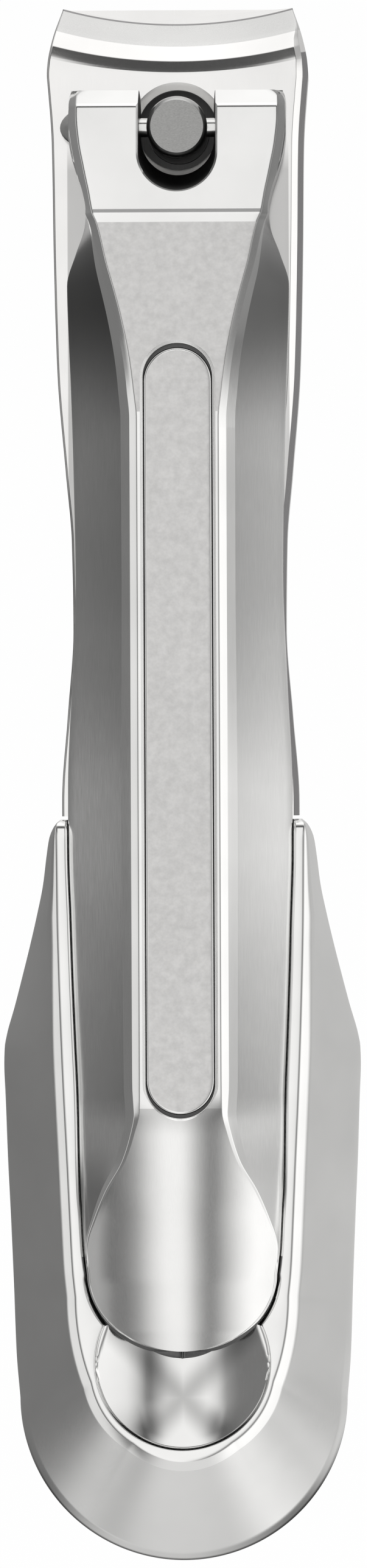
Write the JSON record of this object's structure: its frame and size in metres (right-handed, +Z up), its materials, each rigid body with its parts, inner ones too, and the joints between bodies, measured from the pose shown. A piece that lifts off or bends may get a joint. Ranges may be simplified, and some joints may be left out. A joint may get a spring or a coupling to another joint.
{
  "type": "lever nail clipper",
  "caption": "Lever nail clipper with concave jaws, a folded lever with a ridged head and inlaid rib, and a flared tail casing with a finger bowl that slides off.",
  "frame": {"origin": "on the resting surface, under the middle of the clipper's box", "axes": "+Y towards the jaws, +Z up towards the lever, +X to the right with the jaws away from the viewer"},
  "size_m": [0.0208, 0.09, 0.0141],
  "materials": {
    "blade_steel": "polished, with ground bevels at the cutting edges",
    "inner_steel": "as rolled",
    "pin_steel": "bright turned",
    "post_steel": "turned, with a ground end",
    "lever_steel": "satin, with polished edges",
    "blasted_steel": "bead blasted",
    "file_steel": "cut with fine crossing file teeth",
    "guard_steel": "satin",
    "casing_steel": "satin, with a bright rim and a polished bowl",
    "spring_steel": "blued bright spring strip"
  },
  "bodies": {
    "frame": {"lower_blade": "blade_steel", "tail_spacer": "inner_steel", "tail_rivet_left": "pin_steel", "tail_rivet_right": "pin_steel"},
    "upper_arm": {"upper_blade": "blade_steel"},
    "post": {"post": "post_steel"},
    "lever": {"lever": "lever_steel", "lever_inlay": "blasted_steel", "nail_file": "file_steel", "cross_pin": "pin_steel"},
    "casing": {"tail_cover": "casing_steel", "tail_base": "casing_steel", "side_guard_left": "guard_steel", "side_guard_right": "guard_steel", "catch_clip": "spring_steel", "casing_screw_left": "pin_steel", "casing_screw_right": "pin_steel", "casing_screw_rear": "pin_steel"}
  },
  "joints": [
    {"name": "jaw_close", "type": "hinge", "parent": "frame", "child": "upper_arm", "pos_m": [0, -0.024, 0.00695], "axis": [-1, 0, 0], "range_deg": [0, 1.1], "stiffness_Nm_per_rad": 1, "springref_deg": -2.86},
    {"name": "post_swivel", "type": "hinge", "parent": "frame", "child": "post", "pos_m": [0, 0.03785, 0], "axis": [0, 0, 1], "continuous": true},
    {"name": "lever_lift", "type": "hinge", "parent": "post", "child": "lever", "pos_m": [0, 0.03785, 0.0101], "axis": [-1, 0, 0], "range_deg": [0, 161]},
    {"name": "casing_slide", "type": "slide", "parent": "frame", "child": "casing", "axis": [0, -1, 0], "range_m": [0, 0.028]}
  ]
}
